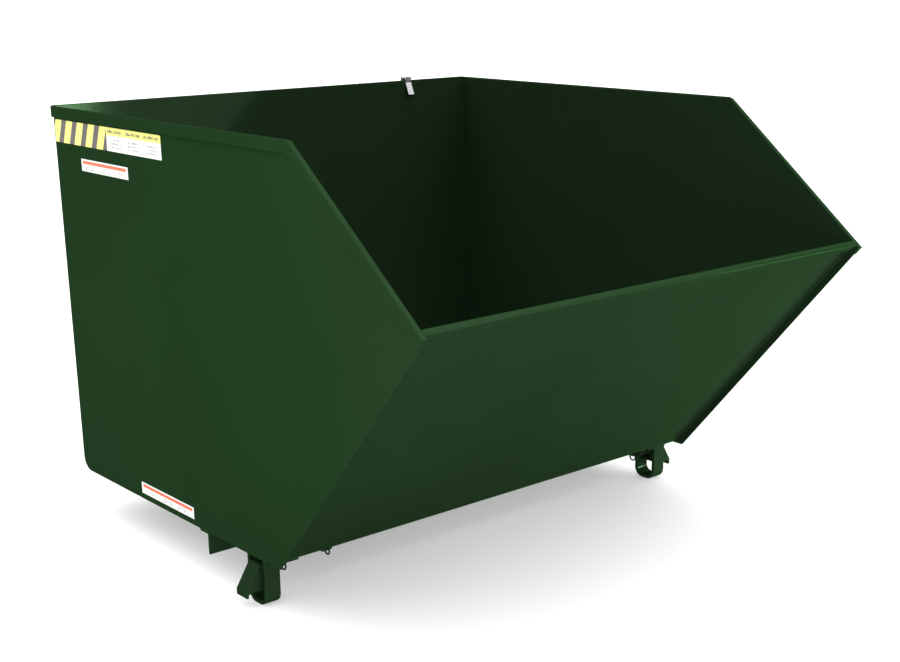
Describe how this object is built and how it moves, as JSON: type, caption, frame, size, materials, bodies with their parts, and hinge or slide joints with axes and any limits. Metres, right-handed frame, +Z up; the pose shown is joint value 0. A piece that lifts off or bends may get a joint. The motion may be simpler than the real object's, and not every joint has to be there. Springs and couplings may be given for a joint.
{
  "type": "dumping hopper",
  "caption": "Open-topped welded steel dumping hopper with a sloping front, stiffened rims and two latching hook brackets underneath.",
  "frame": {"origin": "middle of the bounding box, at the level of the bottom of the hook straps", "axes": "+X to the hopper's right seen from behind its back wall, +Y towards the back wall, +Z up"},
  "size_m": [1.444, 1.492, 1.092],
  "materials": {
    "green_paint": "semi-gloss",
    "spring_steel": "satin",
    "zinc": "dull zinc plating",
    "hazard_print": "printed film",
    "notice_print": "printed film"
  },
  "bodies": {
    "hopper": {"left_side_plate": "green_paint", "right_side_plate": "green_paint", "back_wall": "green_paint", "floor_plate": "green_paint", "front_plate": "green_paint", "front_lip_bar": "green_paint", "rear_rim": "green_paint", "left_top_rim": "green_paint", "right_top_rim": "green_paint", "left_slope_rim": "green_paint", "right_slope_rim": "green_paint", "cross_member": "green_paint", "left_hook_pad": "green_paint", "right_hook_pad": "green_paint", "left_hook_strap": "green_paint", "right_hook_strap": "green_paint", "left_latch_guide": "green_paint", "right_latch_guide": "green_paint", "left_latch_spring": "spring_steel", "right_latch_spring": "spring_steel", "tie_lug": "green_paint", "rim_clip": "zinc", "hazard_label": "hazard_print", "upper_notice_label": "notice_print", "lower_notice_label": "notice_print"},
    "left_latch": {"left_latch_bolt": "green_paint"},
    "right_latch": {"right_latch_bolt": "green_paint"},
    "left_ring": {"left_pull_ring": "green_paint"},
    "right_ring": {"right_pull_ring": "green_paint"},
    "tie_ring": {"tie_ring": "green_paint"}
  },
  "joints": [
    {"name": "left_latch_slide", "type": "slide", "parent": "hopper", "child": "left_latch", "axis": [1, 0, 0], "range_m": [0, 0.036], "stiffness_N_per_m": 400, "springref_m": -0.03, "deforming": ["left_latch_spring"]},
    {"name": "right_latch_slide", "type": "slide", "parent": "hopper", "child": "right_latch", "axis": [-1, 0, 0], "range_m": [0, 0.036], "stiffness_N_per_m": 400, "springref_m": -0.03, "deforming": ["right_latch_spring"]},
    {"name": "left_ring_swing", "type": "hinge", "parent": "left_latch", "child": "left_ring", "pos_m": [-0.599, -0.1015, 0.079], "axis": [0, -1, 0], "range_deg": [-25, 100]},
    {"name": "right_ring_swing", "type": "hinge", "parent": "right_latch", "child": "right_ring", "pos_m": [0.599, -0.1015, 0.079], "axis": [0, 1, 0], "range_deg": [-25, 100]},
    {"name": "tie_ring_swing", "type": "hinge", "parent": "hopper", "child": "tie_ring", "pos_m": [-0.5085, -0.154, 0.1065], "axis": [0, -1, 0], "range_deg": [-40, 90]}
  ]
}
